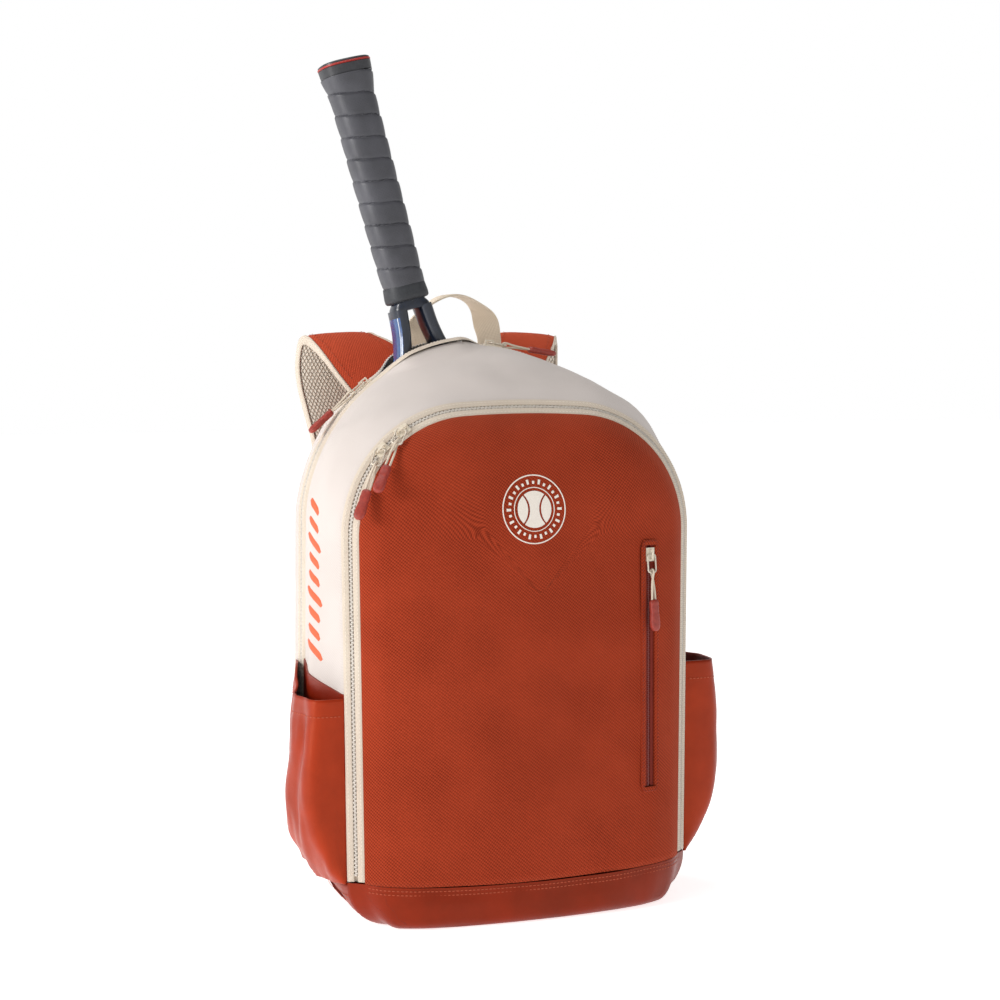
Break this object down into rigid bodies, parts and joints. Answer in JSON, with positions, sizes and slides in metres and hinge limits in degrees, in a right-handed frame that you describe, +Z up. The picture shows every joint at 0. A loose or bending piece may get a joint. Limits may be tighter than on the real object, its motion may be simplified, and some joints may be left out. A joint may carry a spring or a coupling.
{
  "type": "racket backpack",
  "caption": "Backpack for a racket: domed zip-open front, open-topped side pockets, padded shoulder straps, and a tennis racket standing in its part-open top.",
  "frame": {"origin": "middle of the flat base, on the ground", "axes": "+Z up, -Y out of the front panel, +X to the viewer's right when facing the front panel"},
  "size_m": [0.372, 0.2454, 0.6995],
  "materials": {
    "panel_twill": "matte",
    "cream_fabric": "matte",
    "coated_fabric": "satin",
    "zip_tape": "matte",
    "zip_coil": "satin",
    "red_zip": "matte",
    "slider_metal": "satin",
    "bail_metal": "satin",
    "pull_cord": "matte",
    "pull_rubber": "matte",
    "webbing": "matte",
    "strap_mesh": "matte",
    "lining": "matte",
    "foam": "matte",
    "back_mesh": "matte",
    "buckle_plastic": "satin",
    "racket_paint": "gloss",
    "bumper_plastic": "matte",
    "strings": "satin",
    "grip_wrap": "matte",
    "collar_rubber": "matte",
    "cap_plastic": "satin"
  },
  "bodies": {
    "bag": {"boot": "coated_fabric", "gusset_front": "cream_fabric", "gusset_rear": "cream_fabric", "front_base_band": "coated_fabric", "base_foam": "foam", "compartment_divider": "lining", "back_panel": "panel_twill", "back_mesh_pads": "back_mesh", "strap_yoke": "panel_twill", "anchor_tabs": "webbing", "main_zip_tapes": "zip_tape", "main_zip_coils": "zip_coil", "front_zip_tape_gusset": "zip_tape", "front_zip_coil_gusset": "zip_coil", "left_side_pocket": "coated_fabric", "right_side_pocket": "coated_fabric"},
    "front_door": {"front_panel": "panel_twill", "front_zip_tape_door": "zip_tape", "front_zip_coil_door": "zip_coil", "slash_pocket_welt": "panel_twill", "slash_zip_chain": "red_zip", "slash_pocket_bag": "lining"},
    "haul_handle": {"haul_handle": "webbing"},
    "left_strap": {"left_strap_pad": "panel_twill", "left_strap_mesh": "strap_mesh", "left_strap_buckle": "buckle_plastic", "left_strap_webbing": "webbing"},
    "right_strap": {"right_strap_pad": "panel_twill", "right_strap_mesh": "strap_mesh", "right_strap_buckle": "buckle_plastic", "right_strap_webbing": "webbing"},
    "left_tail": {"left_webbing_tail": "webbing"},
    "right_tail": {"right_webbing_tail": "webbing"},
    "racket": {"racket_frame": "racket_paint", "racket_bumper_strip": "bumper_plastic", "racket_strings": "strings", "racket_collar": "collar_rubber", "racket_grip": "grip_wrap", "racket_butt_cap": "cap_plastic"},
    "front_zip_upper_slider": {"front_zip_upper_slider": "slider_metal"},
    "front_zip_upper_pull": {"front_zip_upper_bail": "bail_metal", "front_zip_upper_pull_cord": "pull_cord", "front_zip_upper_pull_tip": "pull_rubber"},
    "front_zip_lower_slider": {"front_zip_lower_slider": "slider_metal"},
    "front_zip_lower_pull": {"front_zip_lower_bail": "bail_metal", "front_zip_lower_pull_cord": "pull_cord", "front_zip_lower_pull_tip": "pull_rubber"},
    "main_zip_left_slider": {"main_zip_left_slider": "slider_metal"},
    "main_zip_left_pull": {"main_zip_left_bail": "bail_metal", "main_zip_left_pull_cord": "pull_cord", "main_zip_left_pull_tip": "pull_rubber"},
    "main_zip_right_slider": {"main_zip_right_slider": "slider_metal"},
    "main_zip_right_pull": {"main_zip_right_bail": "bail_metal", "main_zip_right_pull_cord": "pull_cord", "main_zip_right_pull_tip": "pull_rubber"},
    "slash_zip_slider": {"slash_zip_slider": "slider_metal"},
    "slash_zip_pull": {"slash_zip_bail": "bail_metal", "slash_zip_pull_cord": "pull_cord", "slash_zip_pull_tip": "pull_rubber"}
  },
  "joints": [
    {"name": "front_door_fold", "type": "hinge", "parent": "bag", "child": "front_door", "pos_m": [0, -0.1135, 0.036], "axis": [1, 0, 0], "range_deg": [0, 80]},
    {"name": "racket_lift", "type": "slide", "parent": "bag", "child": "racket", "axis": [-0.2392, 0.0931, 0.9665], "range_m": [0, 0.008]},
    {"name": "front_zip_upper_run", "type": "hinge", "parent": "front_door", "child": "front_zip_upper_slider", "pos_m": [-0.0465, -0.077, 0.30802], "axis": [0, 1, 0], "range_deg": [0, 25]},
    {"name": "front_zip_lower_run", "type": "hinge", "parent": "front_door", "child": "front_zip_lower_slider", "pos_m": [-0.0465, -0.077, 0.30802], "axis": [0, 1, 0], "range_deg": [-24, 0]},
    {"name": "main_zip_left_run", "type": "hinge", "parent": "bag", "child": "main_zip_left_slider", "pos_m": [0, 0.03, 0.30711], "axis": [0, 1, 0], "range_deg": [-34, 0]},
    {"name": "main_zip_right_run", "type": "hinge", "parent": "bag", "child": "main_zip_right_slider", "pos_m": [0, 0.03, 0.30711], "axis": [0, 1, 0], "range_deg": [0, 62]},
    {"name": "slash_zip_run", "type": "slide", "parent": "front_door", "child": "slash_zip_slider", "axis": [0, 0, -1], "range_m": [0, 0.165]},
    {"name": "front_zip_upper_pull_swing", "type": "hinge", "parent": "front_zip_upper_slider", "child": "front_zip_upper_pull", "pos_m": [-0.10359, -0.07929, 0.39265], "axis": [-0.7972, 0.5652, 0.2122], "range_deg": [0, 120]},
    {"name": "front_zip_lower_pull_swing", "type": "hinge", "parent": "front_zip_lower_slider", "child": "front_zip_lower_pull", "pos_m": [-0.12117, -0.07929, 0.37764], "axis": [-0.7696, 0.616, 0.1682], "range_deg": [0, 120]},
    {"name": "main_zip_left_pull_swing", "type": "hinge", "parent": "main_zip_left_slider", "child": "main_zip_left_pull", "pos_m": [-0.09627, 0.03, 0.42857], "axis": [0, 1, 0], "range_deg": [0, 120]},
    {"name": "main_zip_right_pull_swing", "type": "hinge", "parent": "main_zip_right_slider", "child": "main_zip_right_pull", "pos_m": [0.01728, 0.03, 0.46113], "axis": [0, -1, 0], "range_deg": [0, 120]},
    {"name": "slash_zip_pull_swing", "type": "hinge", "parent": "slash_zip_slider", "child": "slash_zip_pull", "pos_m": [0.1006, -0.10733, 0.289], "axis": [-0.9703, -0.2419, 0], "range_deg": [0, 120]},
    {"name": "haul_handle_flex", "type": "hinge", "parent": "bag", "child": "haul_handle", "pos_m": [0, 0.071, 0.453], "axis": [1, 0, 0], "range_deg": [-12, 12], "stiffness_Nm_per_rad": 0.03},
    {"name": "left_strap_swing", "type": "hinge", "parent": "bag", "child": "left_strap", "pos_m": [-0.07, 0.1035, 0.424], "axis": [0.1278, 0.0139, 0.9917], "range_deg": [-9, 9], "stiffness_Nm_per_rad": 0.12},
    {"name": "left_tail_swing", "type": "hinge", "parent": "left_strap", "child": "left_tail", "pos_m": [-0.099, 0.124, 0.146], "axis": [1, 0, 0], "range_deg": [-2, 60]},
    {"name": "right_strap_swing", "type": "hinge", "parent": "bag", "child": "right_strap", "pos_m": [0.07, 0.1035, 0.424], "axis": [-0.1278, 0.0139, 0.9917], "range_deg": [-9, 9], "stiffness_Nm_per_rad": 0.12},
    {"name": "right_tail_swing", "type": "hinge", "parent": "right_strap", "child": "right_tail", "pos_m": [0.099, 0.124, 0.146], "axis": [1, 0, 0], "range_deg": [-2, 60]}
  ]
}
